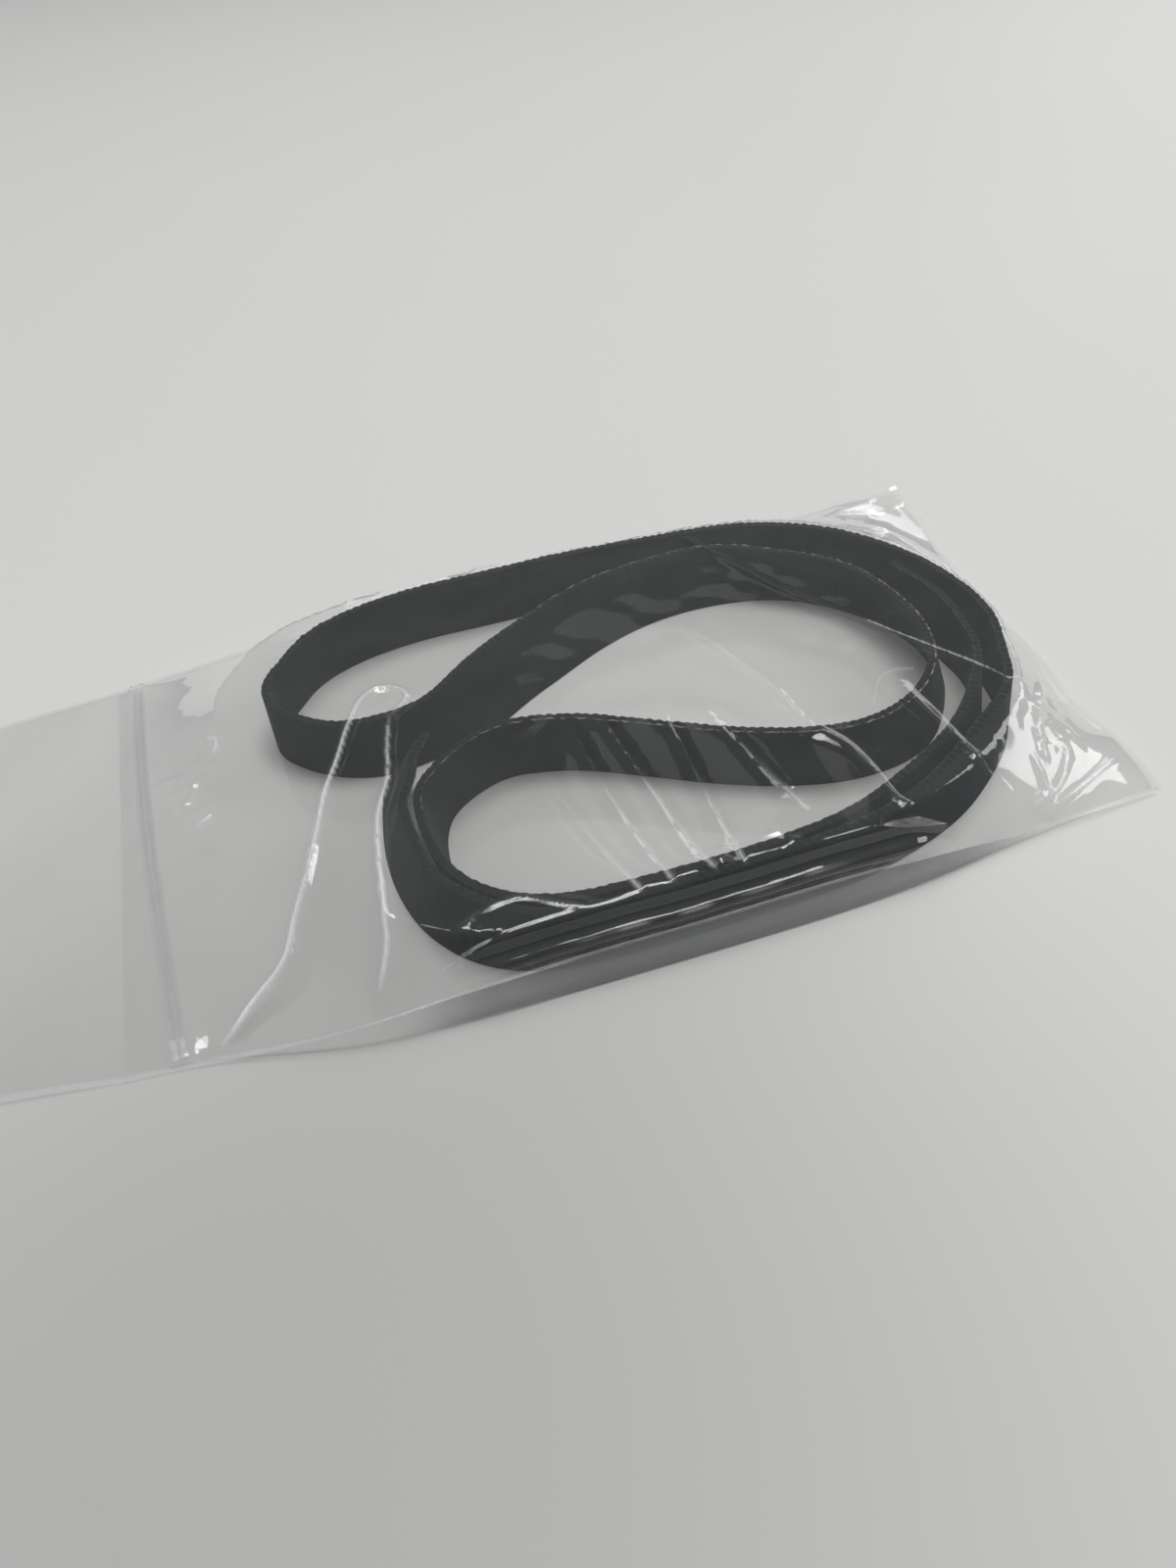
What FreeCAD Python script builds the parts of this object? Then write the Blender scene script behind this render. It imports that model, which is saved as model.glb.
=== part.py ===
import FreeCAD, Part
import math
import os
import Sketcher

# A black two-ply strap, wound up on its edge, lies in a clear resealable bag.
# X runs along the bag from its mouth to its closed end, Z up from the table.
# The origin is on the table, under the middle of the bag's box.

# Driving dimensions, in millimetres
SIZES = {
    "strap_width": 12.0,
    "outer_ply": 1.2,
    "inner_ply": 0.3,
    "coil_length": 132.0,
    "coil_width": 99.4,
    "film": 0.1,
    "head_room": 0.3,
    "pocket_room": 1.0,
    "strap_travel": 8.0,
    "far_run": 8.0,
    "end_run": 14.0,
    "mouth_run": 13.0,
    "margin_run": 2.4,
    "margin_rise": 4.75,
    "side_weld": 1.2,
    "end_weld": 2.0,
    "zip_height": 1.4,
    "zip_width": 2.4,
    "zip_strip": 3.0,
    "zip_crush": 2.0,
    "fold_run": 4.0,
    "lip_length": 24.0,
    "fold_gap": 0.2,
    "zip_web": 0.25,
    "zip_wall": 0.35,
    "zip_hook": 0.25,
    "zip_stem": 0.4,
    "zip_clear": 0.1,
}

# Places that follow from the sizes, in the coil's frame, whose middle is the coil's middle
PLACES = {
    "pocket_left": "-Sizes.coil_length / 2 - Sizes.pocket_room - Sizes.strap_travel",
    "pocket_right": "Sizes.coil_length / 2 + Sizes.pocket_room",
    "pocket_far": "Sizes.coil_width / 2 + Sizes.pocket_room",
    "pocket_near": "-Sizes.coil_width / 2 - Sizes.pocket_room",
    "zip_right": "pocket_left - Sizes.mouth_run",
    "zip_left": "zip_right - Sizes.zip_strip",
    "fold": "zip_left - Sizes.fold_run",
    "lip_end": "fold - Sizes.lip_length",
    "closed_end": "pocket_right + Sizes.end_run",
    "far_seam": "pocket_far + Sizes.far_run",
    "near_seam": "pocket_near - Sizes.margin_run",
    "top_film": "Sizes.film + Sizes.strap_width + Sizes.head_room",
    "zip_film": "Sizes.film + Sizes.zip_height",
    "middle_x": "(lip_end + closed_end + Sizes.end_weld) / 2",
    "middle_y": "(near_seam + far_seam) / 2",
}

# The strap's route, chosen by hand on the coil as it lies: foot of the middle of the strap (x, y),
# heading in degrees, and how far the upper edge leans to the left of the way it runs.
# It starts at the inner end, turns clockwise, and its outer ply is on the left.
DRAWN_LENGTH = 132.0
DRAWN_WIDTH = 99.4
ROUTE = [
    (60.0, 18.6, -77, 0.0),
    (62.6, 3.6, -90, 0.0),
    (60.3, -12.9, -108, 0.0),
    (52.0, -25.9, -132, 0.0),
    (38.6, -34.6, -149, 0.0),
    (23.6, -42.2, -157, 0.0),
    (6.0, -45.9, -175, 0.0),
    (-23.0, -46.0, -183, 0.0),
    (-36.0, -41.4, -215, 0.5),
    (-42.0, -30.9, -254, 2.2),
    (-42.2, -16.9, -276, 3.3),
    (-37.0, -6.3, -322, 0.5),
    (-24.0, -1.9, -369, 0.0),
    (2.6, -14.8, -392, 0.0),
    (24.0, -24.4, -374, 0.0),
    (47.0, -16.9, -312, 0.0),
    (54.0, 4.6, -268, 0.0),
    (45.5, 27.1, -222, 0.0),
    (22.0, 35.8, -178, -4.0),
    (-5.0, 26.8, -148, -6.5),
    (-22.0, 15.8, -142, -6.5),
    (-43.0, 9.1, -170, 0.0),
    (-58.0, 12.1, -220, 0.0),
    (-65.2, 23.6, -268, 0.0),
    (-58.8, 36.6, -305, 0.0),
    (-43.0, 46.4, -346, 0.0),
    (-9.0, 48.3, -358, 0.6),
    (22.0, 47.3, -364, 0.0),
    (41.5, 43.2, -385, 0.0),
    (56.3, 32.2, -412, 0.0),
    (65.0, 2.6, -450, 0.0),
    (61.6, -20.2, -473, 0.0),
    (45.0, -37.6, -505, -1.9),
    (24.0, -46.3, -526, -0.6),
    (5.0, -48.3, -538, 0.0),
    (-26.0, -48.4, -543, 0.0),
    (-45.0, -38.9, -594, -2.0),
    (-51.1, -17.4, -630, -3.3),
    (-47.8, 4.6, -654, -1.0),
]

# Corners of the room that the bag leaves round the coil, as cuts off its four corners (along x, along y)
CORNER_CUTS = {
    "near_mouth": (16.0, 25.0),
    "near_end": (24.0, 25.0),
    "far_end": (24.0, 23.0),
    "far_mouth": (16.0, 15.0),
}

doc = FreeCAD.newDocument("strap_in_bag")


def fill_sheet(name, cells, formula):
    """A sheet with one named cell to a row."""
    sheet = doc.addObject("Spreadsheet::Sheet", name)
    for row, (alias, content) in enumerate(cells.items(), 1):
        sheet.set(f"A{row}", alias)
        sheet.setAlias(f"B{row}", alias)
        sheet.set(f"B{row}", f"={content}" if formula else str(content))
    doc.recompute()
    return sheet


sizes = fill_sheet("Sizes", SIZES, formula=False)
places = fill_sheet("Places", PLACES, formula=True)


def size(alias):
    return float(sizes.get(alias))


def place(alias):
    return float(places.get(alias))


def centre(piece):
    """Brings a piece from the coil's frame to the bag's."""
    shift = FreeCAD.Vector(-place("middle_x"), -place("middle_y"), 0)
    piece.Placement = FreeCAD.Placement(shift, FreeCAD.Rotation())


def solid_piece(label, shape):
    """A sub-part whose shape is worked out from points."""
    piece = doc.addObject("Part::Feature", label)
    piece.Label = label
    piece.Shape = shape
    centre(piece)
    return piece


def plate(label, corner, spans):
    """A flat rectangular sub-part. Corner and spans are expressions for x, y and z."""
    piece = doc.addObject("Part::Box", label)
    piece.Label = label
    for name, span in zip(("Length", "Width", "Height"), spans):
        piece.setExpression(name, span)
    shifts = ("- Places.middle_x", "- Places.middle_y", "")
    for axis, start, shift in zip("xyz", corner, shifts):
        piece.setExpression(f"Placement.Base.{axis}", f"{start} {shift}")
    return piece


# The strap

def direction(heading):
    return FreeCAD.Vector(math.cos(heading), math.sin(heading), 0)


def left_of(heading):
    return FreeCAD.Vector(-math.sin(heading), math.cos(heading), 0)


def stations(level):
    """Points and headings of the strap's middle line, at its foot (level 0) or its upper edge (level 1)."""
    along = size("coil_length") / DRAWN_LENGTH
    across = size("coil_width") / DRAWN_WIDTH
    line = []
    for x, y, degrees, lean in ROUTE:
        drawn = math.radians(degrees)
        turned = math.atan2(math.sin(drawn) * across, math.cos(drawn) * along)
        heading = drawn + math.remainder(turned - drawn, 2 * math.pi)
        point = FreeCAD.Vector(x * along, y * across, 0) + left_of(heading) * lean * level
        line.append((point, heading))
    return line


def meeting_point(start, heading, end, end_heading):
    """Where the two equal-tangent arcs from start to end meet."""
    chord = end - start
    first = direction(heading)
    last = direction(end_heading)
    both = first + last
    spread = 2 * (1 - first.dot(last))
    reach = chord.dot(both)
    if spread < 1e-9:
        tangent = chord.dot(chord) / (4 * chord.dot(last))
    else:
        tangent = (math.sqrt(reach * reach + spread * chord.dot(chord)) - reach) / spread
    return ((start + first * tangent) + (end - last * tangent)) / 2


def arc_turn(start, heading, end):
    """How far an arc turns that leaves start along heading and reaches end."""
    chord = end - start
    return 2 * math.atan2(direction(heading).cross(chord).z, direction(heading).dot(chord))


def middle_line(level):
    """Ends and headings of the arcs that the strap's middle line is made of."""
    line = stations(level)
    joints = [line[0]]
    for (start, heading), (end, end_heading) in zip(line, line[1:]):
        meet = meeting_point(start, heading, end, end_heading)
        meet_heading = heading + arc_turn(start, heading, meet)
        joints.append((meet, meet_heading))
        joints.append((end, meet_heading + arc_turn(meet, meet_heading, end)))
    return joints


def arris(joints, side, height):
    """Arcs parallel to the middle line, side mm to its left, at a height."""
    lift = FreeCAD.Vector(0, 0, height)
    edges = []
    for (start, heading), (end, end_heading) in zip(joints, joints[1:]):
        turn = end_heading - heading
        a = start + left_of(heading) * side + lift
        b = end + left_of(end_heading) * side + lift
        chord = b - a
        bow = left_of(heading + turn / 2) * (-chord.Length / 2 * math.tan(turn / 4))
        edges.append(Part.Arc(a, (a + b) / 2 + bow, b).toShape())
    return edges


def ply(outside, inside):
    """The solid between two faces of the strap, given by their distances to the left of its middle."""
    foot = size("film")
    head = foot + size("strap_width")
    low = middle_line(0)
    high = middle_line(1)
    rims = {}
    for side in (outside, inside):
        rims[side, foot] = arris(low, side, foot)
        rims[side, head] = arris(high, side, head)
    faces = []
    for side in (outside, inside):
        for lower, upper in zip(rims[side, foot], rims[side, head]):
            faces.append(Part.makeRuledSurface(lower, upper))
    for height in (foot, head):
        out_edges = rims[outside, height]
        in_edges = rims[inside, height]
        start_cut = Part.makeLine(in_edges[0].Vertexes[0].Point, out_edges[0].Vertexes[0].Point)
        end_cut = Part.makeLine(out_edges[-1].Vertexes[-1].Point, in_edges[-1].Vertexes[-1].Point)
        rim = Part.Wire(Part.__sortEdges__([start_cut] + out_edges + [end_cut] + in_edges))
        faces.append(Part.Face(rim))
    for index, vertex in ((0, 0), (-1, -1)):
        corners = [rims[key][index].Vertexes[vertex].Point for key in (
            (outside, foot), (inside, foot), (inside, head), (outside, head))]
        faces.append(Part.Face(Part.makePolygon(corners + corners[:1])))
    shell = Part.makeShell(faces)
    shell.sewShape()
    solid = Part.makeSolid(shell)
    if solid.Volume < 0:
        solid.reverse()
    return solid


def gap_between_turns(joints):
    """The least gap that the strap leaves to itself, measured on points a millimetre apart."""
    points = []
    for edge in arris(joints, 0, 0):
        points += edge.discretize(int(edge.Length) + 2)[:-1]
    same_turn = 25
    thickness = size("outer_ply") + size("inner_ply")
    return min(point.distanceToPoint(other) for index, point in enumerate(points)
               for other in points[index + same_turn:]) - thickness


def make_strap():
    """Outer woven ply and thin inner ply, bonded along their whole length."""
    half = (size("outer_ply") + size("inner_ply")) / 2
    bond = half - size("outer_ply")
    solid_piece("strap_outer_ply", ply(half, bond))
    solid_piece("strap_inner_ply", ply(bond, -half))
    foot, head = middle_line(0), middle_line(1)
    arcs = arris(foot, 0, 0)
    length = sum(arc.Length for arc in arcs)
    radius = min(arc.Curve.Radius for arc in arcs)
    print(f"strap length {length:.1f} mm, least bend radius {radius:.1f} mm")
    print(f"gap between its turns {gap_between_turns(foot):.2f} mm at the foot, "
          f"{gap_between_turns(head):.2f} mm at the upper edge")


# The bag's films

def sheet_of(facets, thickness):
    """Flat facets of film, each raised by the film's thickness, that touch along their folds."""
    solids = []
    for corners in facets:
        points = [FreeCAD.Vector(*corner) for corner in corners]
        face = Part.Face(Part.makePolygon(points + points[:1]))
        solids.append(face.extrude(FreeCAD.Vector(0, 0, thickness)))
    return Part.makeCompound(solids)


def seam_points():
    """The near seam from zip to closed end: it is turned up beside the coil and flat at both ends."""
    rise = size("margin_rise")
    cut_left = CORNER_CUTS["near_mouth"][0]
    cut_right = CORNER_CUTS["near_end"][0]
    return [
        (place("zip_right"), place("pocket_near"), 0),
        (place("pocket_left") + cut_left, place("near_seam"), rise),
        (place("pocket_right") - cut_right, place("near_seam"), rise),
        (place("closed_end"), place("pocket_near"), 0),
    ]


def make_lower_film():
    """Flat on the table, with its near margin turned up to the seam."""
    fold, end = place("fold"), place("closed_end")
    near, far = place("pocket_near"), place("far_seam")
    floor = [(fold, near, 0), (end, near, 0), (end, far, 0), (fold, far, 0)]
    solid_piece("lower_film", sheet_of([floor, seam_points()], size("film")))


def make_upper_film():
    """Flat over the coil and the zip, with slopes down to the seams and to the fold of the lips."""
    film, top = size("film"), place("top_film")
    left, right = place("pocket_left"), place("pocket_right")
    near, far = place("pocket_near"), place("pocket_far")
    (nm_x, nm_y), (ne_x, ne_y) = CORNER_CUTS["near_mouth"], CORNER_CUTS["near_end"]
    (fe_x, fe_y), (fm_x, fm_y) = CORNER_CUTS["far_end"], CORNER_CUTS["far_mouth"]
    mouth_near = (left, near + nm_y, top)
    near_mouth = (left + nm_x, near, top)
    near_end = (right - ne_x, near, top)
    end_near = (right, near + ne_y, top)
    end_far = (right, far - fe_y, top)
    far_end = (right - fe_x, far, top)
    far_mouth = (left + fm_x, far, top)
    mouth_far = (left, far - fm_y, top)
    _, seam_mouth, seam_end, _ = [(x, y, z + film) for x, y, z in seam_points()]

    end, far_seam = place("closed_end"), place("far_seam")
    corner_near = (end, near, film)
    corner_far = (end, far_seam, film)
    zip_right, zip_left, fold = place("zip_right"), place("zip_left"), place("fold")
    zip_top, crush = place("zip_film"), size("zip_crush")
    bar_near = (zip_right, near + crush, zip_top)
    bar_far = (zip_right, far_seam - crush, zip_top)
    strip_near = (zip_left, near + crush, zip_top)
    strip_far = (zip_left, far_seam - crush, zip_top)
    bar_foot_near = (zip_right, near, film)
    bar_foot_far = (zip_right, far_seam, film)
    strip_foot_near = (zip_left, near, film)
    strip_foot_far = (zip_left, far_seam, film)
    fold_near = (fold, near, film)
    fold_far = (fold, far_seam, film)
    far_foot_mouth = (left + fm_x, far_seam, film)
    far_foot_end = (right - fe_x, far_seam, film)
    facets = [
        [mouth_near, near_mouth, near_end, end_near, end_far, far_end, far_mouth, mouth_far],
        [near_mouth, near_end, seam_end, seam_mouth],
        [mouth_near, near_mouth, bar_near],
        [near_mouth, seam_mouth, bar_near],
        [bar_near, seam_mouth, bar_foot_near],
        [near_end, end_near, corner_near],
        [near_end, seam_end, corner_near],
        [end_near, end_far, corner_far, corner_near],
        [end_far, far_end, corner_far],
        [far_end, far_foot_end, corner_far],
        [far_end, far_mouth, far_foot_mouth, far_foot_end],
        [far_mouth, far_foot_mouth, bar_far],
        [bar_far, far_foot_mouth, bar_foot_far],
        [mouth_far, far_mouth, bar_far],
        [mouth_near, mouth_far, bar_far, bar_near],
        [bar_near, bar_far, strip_far, strip_near],
        [bar_near, strip_near, strip_foot_near, bar_foot_near],
        [bar_far, strip_far, strip_foot_far, bar_foot_far],
        [strip_near, strip_foot_near, fold_near],
        [strip_far, strip_foot_far, fold_far],
        [strip_near, strip_far, fold_far, fold_near],
    ]
    solid_piece("upper_film", sheet_of(facets, film))


def make_welds():
    """The films are welded along both sides and the closed end."""
    points = [(place("fold"), place("pocket_near"), 0)] + seam_points()
    width = size("side_weld")
    facets = []
    for (x0, y0, z0), (x1, y1, z1) in zip(points, points[1:]):
        facets.append([(x0, y0, z0), (x1, y1, z1), (x1, y1 - width, z1), (x0, y0 - width, z0)])
    solid_piece("near_weld", sheet_of(facets, 2 * size("film")))
    both = "2 * Sizes.film"
    plate("far_weld", ("Places.fold", "Places.far_seam", "0"),
          ("Places.closed_end - Places.fold", "Sizes.side_weld", both))
    plate("end_weld", ("Places.closed_end", "Places.pocket_near", "0"),
          ("Sizes.end_weld", "Places.far_seam - Places.pocket_near", both))


def make_lips():
    """Both films run on past the zip as lips, welded to each other at the sides, and fold as one."""
    start = "Places.lip_end"
    length = "Sizes.lip_length - Sizes.fold_gap"
    width = "Places.far_seam - Places.pocket_near"
    plate("lower_lip", (start, "Places.pocket_near", "0"), (length, width, "Sizes.film"))
    plate("upper_lip", (start, "Places.pocket_near", "Sizes.film"), (length, width, "Sizes.film"))
    plate("lip_near_weld", (start, "Places.pocket_near - Sizes.side_weld", "0"),
          (length, "Sizes.side_weld", "2 * Sizes.film"))
    plate("lip_far_weld", (start, "Places.far_seam", "0"), (length, "Sizes.side_weld", "2 * Sizes.film"))


# The zip

def extruded_bar(label, outline):
    """A bar as long as the zip, with an outline in x and z given as expressions."""
    body = doc.addObject("PartDesign::Body", label)
    body.Label = label
    sketch = body.newObject("Sketcher::SketchObject", f"{label}_outline")
    plane = [item for item in body.Origin.OriginFeatures if item.Role == "XZ_Plane"][0]
    sketch.AttachmentSupport = [(plane, "")]
    sketch.MapMode = "FlatFace"
    count = len(outline)
    for index in range(count):
        sketch.addGeometry(Part.LineSegment(
            FreeCAD.Vector(index, index * index, 0), FreeCAD.Vector(index + 1, (index + 1) ** 2, 0)), False)
    for index in range(count):
        sketch.addConstraint(Sketcher.Constraint("Coincident", index, 2, (index + 1) % count, 1))
    for index, (along, up) in enumerate(outline):
        across = sketch.addConstraint(Sketcher.Constraint("DistanceX", -1, 1, index, 1, float(index)))
        sketch.setExpression(f"Constraints[{across}]", along)
        height = sketch.addConstraint(Sketcher.Constraint("DistanceY", -1, 1, index, 1, float(index * index)))
        sketch.setExpression(f"Constraints[{height}]", up)
    pad = body.newObject("PartDesign::Pad", f"{label}_length")
    pad.Profile = sketch
    pad.setExpression("Length", "Places.far_seam - Places.pocket_near - 2 * Sizes.zip_crush")
    body.setExpression("Placement.Base.x", "Places.zip_left - Places.middle_x")
    body.setExpression("Placement.Base.y", "Places.far_seam - Sizes.zip_crush - Places.middle_y")
    return body


def make_zip():
    """The channel stands on the lower film and the rib hangs from the upper film, caught in it."""
    left = "(Sizes.zip_strip - Sizes.zip_width) / 2"
    right = f"({left} + Sizes.zip_width)"
    middle = "Sizes.zip_strip / 2"
    base = "Sizes.film"
    floor = f"({base} + Sizes.zip_web)"
    ceiling = "(Places.zip_film - Sizes.zip_web)"
    hook_top = f"({ceiling} - Sizes.zip_clear)"
    hook_under = f"({hook_top} - Sizes.zip_hook)"
    mouth = "(Sizes.zip_stem / 2 + Sizes.zip_clear)"
    inner_left = f"({left} + Sizes.zip_wall)"
    inner_right = f"({right} - Sizes.zip_wall)"
    extruded_bar("zip_channel", [
        (left, base), (right, base), (right, hook_top), (f"{middle} + {mouth}", hook_top),
        (f"{middle} + {mouth}", hook_under), (inner_right, hook_under), (inner_right, floor),
        (inner_left, floor), (inner_left, hook_under), (f"{middle} - {mouth}", hook_under),
        (f"{middle} - {mouth}", hook_top), (left, hook_top)])
    head_top = f"({hook_under} - Sizes.zip_clear)"
    head_under = f"({floor} + Sizes.zip_clear)"
    stem = "Sizes.zip_stem / 2"
    head_left = f"({inner_left} + Sizes.zip_clear)"
    head_right = f"({inner_right} - Sizes.zip_clear)"
    extruded_bar("zip_rib", [
        (left, ceiling), (f"{middle} - {stem}", ceiling), (f"{middle} - {stem}", head_top),
        (head_left, head_top), (head_left, head_under), (head_right, head_under),
        (head_right, head_top), (f"{middle} + {stem}", head_top), (f"{middle} + {stem}", ceiling),
        (right, ceiling), (right, "Places.zip_film"), (left, "Places.zip_film")])


make_strap()
make_lower_film()
make_upper_film()
make_welds()
make_lips()
make_zip()
doc.recompute()

SUB_PARTS = [
    "strap_outer_ply", "strap_inner_ply",
    "lower_film", "upper_film", "near_weld", "far_weld", "end_weld",
    "zip_channel", "zip_rib",
    "lower_lip", "upper_lip", "lip_near_weld", "lip_far_weld",
]

for item in doc.Objects:
    if "Invalid" in item.State or "Error" in item.State:
        raise RuntimeError(f"{item.Label} failed: {item.State}")
os.makedirs("parts", exist_ok=True)
for label in SUB_PARTS:
    shape = doc.getObjectsByLabel(label)[0].Shape
    if shape.isNull() or not shape.isValid():
        raise RuntimeError(f"{label} has no valid shape")
for label in SUB_PARTS:
    shape = doc.getObjectsByLabel(label)[0].Shape
    shape.exportStep(f"parts/{label}.step")
    box = shape.BoundBox
    print(f"{label}: {len(shape.Solids)} solids, {shape.Volume:.1f} mm3, "
          f"x {box.XMin:.2f}..{box.XMax:.2f}, y {box.YMin:.2f}..{box.YMax:.2f}, z {box.ZMin:.2f}..{box.ZMax:.2f}")
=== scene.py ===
import math

import bpy
import numpy as np
from mathutils import Matrix, Vector, noise


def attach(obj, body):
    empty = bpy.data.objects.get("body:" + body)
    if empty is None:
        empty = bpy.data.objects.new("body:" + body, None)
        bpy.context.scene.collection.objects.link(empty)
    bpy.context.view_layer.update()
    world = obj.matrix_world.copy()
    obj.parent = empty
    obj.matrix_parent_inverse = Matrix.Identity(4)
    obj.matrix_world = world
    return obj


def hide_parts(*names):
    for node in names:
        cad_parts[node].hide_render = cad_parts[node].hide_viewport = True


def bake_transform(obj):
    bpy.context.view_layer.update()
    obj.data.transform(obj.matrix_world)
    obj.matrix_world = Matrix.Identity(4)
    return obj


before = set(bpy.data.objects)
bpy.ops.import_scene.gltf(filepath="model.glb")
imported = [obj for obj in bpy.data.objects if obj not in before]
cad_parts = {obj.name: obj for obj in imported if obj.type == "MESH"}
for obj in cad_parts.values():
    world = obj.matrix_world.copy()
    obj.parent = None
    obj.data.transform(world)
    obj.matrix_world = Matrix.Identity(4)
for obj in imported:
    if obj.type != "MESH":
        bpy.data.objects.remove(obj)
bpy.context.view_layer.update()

# A black two-ply strap, wound up on its edge, lies in a clear resealable bag.
# Lengths are written in millimetres and turned to metres when a mesh is made.
MM = 0.001

# Heights of the stack, from the table up
FILM = 0.1
STRAP_FOOT = FILM
STRAP_WIDTH = 12.0
STRAP_HEAD = STRAP_FOOT + STRAP_WIDTH
OUTER_PLY = 1.2
INNER_PLY = 0.3
STRAP_TRAVEL = 8.0
FILM_OVER_STRAP = STRAP_HEAD + 0.12
# The lower film is drawn this far clear of the table, so that the two don't share a plane
CLEAR = 0.02
# The plies stand this far clear of the film under them, and end as far below the strap's full height
PLY_CLEAR = 0.02


# Small helpers

def srgb(code):
    """A linear colour from an sRGB hex value."""
    parts = [int(code[i:i + 2], 16) / 255 for i in (1, 3, 5)]
    return [p / 12.92 if p <= 0.04045 else ((p + 0.055) / 1.055) ** 2.4 for p in parts] + [1.0]


def add(tree, kind, settings=None, **links):
    """Adds one node. Settings go to its properties or sockets, and links join other nodes' outputs to it.
    A socket without a name of its own goes by its number, which a link writes as _2."""
    made = tree.nodes.new(kind)
    for name, value in (settings or {}).items():
        if isinstance(name, int) or name in made.inputs:
            made.inputs[name].default_value = value
        else:
            setattr(made, name, value)
    for name, source in links.items():
        socket = made.inputs[int(name[1:])] if name[0] == "_" else made.inputs[name.replace("_", " ")]
        tree.links.new(source, socket)
    return made


def new_material(name):
    """An empty material with its output."""
    material = bpy.data.materials.new(name)
    material.use_nodes = True
    material.node_tree.nodes.clear()
    return material, material.node_tree, material.node_tree.nodes.new("ShaderNodeOutputMaterial")


def smooth_line(points, count):
    """A smooth line through points, resampled to an even count."""
    points = np.array(points, float)
    steps = np.linalg.norm(np.diff(points, axis=0), axis=1)
    knots = np.concatenate(([0], np.cumsum(steps)))
    slopes = np.gradient(points, knots, axis=0)
    at = np.linspace(0, knots[-1], count)
    i = np.clip(np.searchsorted(knots, at, side="right") - 1, 0, len(points) - 2)
    span = (knots[i + 1] - knots[i])[:, None]
    t = ((at - knots[i]) / (knots[i + 1] - knots[i]))[:, None]
    return ((2 * t**3 - 3 * t**2 + 1) * points[i] + (t**3 - 2 * t**2 + t) * span * slopes[i]
            + (3 * t**2 - 2 * t**3) * points[i + 1] + (t**3 - t**2) * span * slopes[i + 1])


def soft_step(x):
    """0 below 0, 1 above 1, and smooth between."""
    x = np.clip(x, 0, 1)
    return x * x * (3 - 2 * x)


def waves(x, y, size, seed):
    """Even noise over a plan in millimetres, about -1 to 1."""
    flat = [noise.noise(Vector((a / size, b / size, seed))) for a, b in zip(np.ravel(x), np.ravel(y))]
    return np.reshape(flat, np.shape(x)) * 1.6


def make_piece(name, points, faces, material, places=None):
    """A mesh piece from points in millimetres. places are its UV, a pair for each point, in metres."""
    mesh = bpy.data.meshes.new(name)
    mesh.from_pydata((np.asarray(points) * MM).tolist(), [], [list(map(int, face)) for face in faces])
    if places is not None:
        layer = mesh.uv_layers.new(name="UVMap")
        corner = np.zeros(len(mesh.loops), int)
        mesh.loops.foreach_get("vertex_index", corner)
        layer.data.foreach_set("uv", np.asarray(places, float)[corner].ravel())
    mesh.polygons.foreach_set("use_smooth", [True] * len(mesh.polygons))
    mesh.set_sharp_from_angle(angle=math.radians(50))
    mesh.materials.append(material)
    mesh.validate()
    piece = bpy.data.objects.new(name, mesh)
    bpy.context.scene.collection.objects.link(piece)
    return piece


def swept_faces(rings, around, turned=False):
    """Faces of a closed form that is swept through rings of points, with a cap at each end."""
    i, k = np.meshgrid(np.arange(rings - 1), np.arange(around), indexing="ij")
    a = (i * around + k).ravel()
    b = (i * around + (k + 1) % around).ravel()
    quads = np.column_stack((a, a + around, b + around, b))
    caps = [list(range(around)), [(rings - 1) * around + q for q in reversed(range(around))]]
    if turned:
        quads = quads[:, [0, 3, 2, 1]]
        caps = [cap[::-1] for cap in caps]
    return quads.tolist() + caps


def grid_faces(rows, columns, offset=0, turned=False):
    """Quads of a grid whose points run along its columns first."""
    j, i = np.meshgrid(np.arange(rows - 1), np.arange(columns - 1), indexing="ij")
    a = (j * columns + i).ravel() + offset
    quads = np.column_stack((a, a + 1, a + columns + 1, a + columns))
    return quads[:, ::-1] if turned else quads


def thin_sheet(name, grid, thickness, material, white=None):
    """A closed sheet of film. grid is its underside, rows by columns, with x to the right and y up.
    white is the share of painted tone at each of its places, which its material gives as white painted
    highlights along creases and as grey painted shade on a shaded margin."""
    rows, columns = grid.shape[:2]
    along = np.gradient(grid, axis=1)
    across = np.gradient(grid, axis=0)
    upward = np.cross(along, across)
    size = np.linalg.norm(upward, axis=2, keepdims=True)
    upward = np.where(size > 1e-6, upward / np.maximum(size, 1e-6), [0.0, 0.0, 1.0])
    count = rows * columns
    under = grid.reshape(-1, 3)
    over = (grid + upward * thickness).reshape(-1, 3)
    index = np.arange(count).reshape(rows, columns)
    rim = np.concatenate((index[0, :-1], index[:-1, -1], index[-1, :0:-1], index[:0:-1, 0]))
    after = np.roll(rim, -1)
    sides = np.column_stack((rim, after, after + count, rim + count))
    faces = np.concatenate((grid_faces(rows, columns, 0, True), grid_faces(rows, columns, count), sides))
    points = np.concatenate((under, over))
    points[:, 2] = np.maximum(points[:, 2], CLEAR)
    piece = make_piece(name, points, faces, material, points[:, :2] * MM)
    if white is not None:
        layer = piece.data.attributes.new("painted_glint_and_shade", "FLOAT", "POINT")
        layer.data.foreach_set("value", np.tile(white.ravel(), 2))
    return piece


# Camera: the photograph's tilt, roll and focal length, found from the strap's own edges
CAMERA_TILT = 41
CAMERA_AZIMUTH = 14
CAMERA_ROLL = 5.5
CAMERA_PLACE = (-34.8, -166.1, 137.9)
FOCAL_LENGTH_PIXELS = 1209
FRAME_WIDTH_PIXELS = 1200
SENSOR_WIDTH = 36


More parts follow.
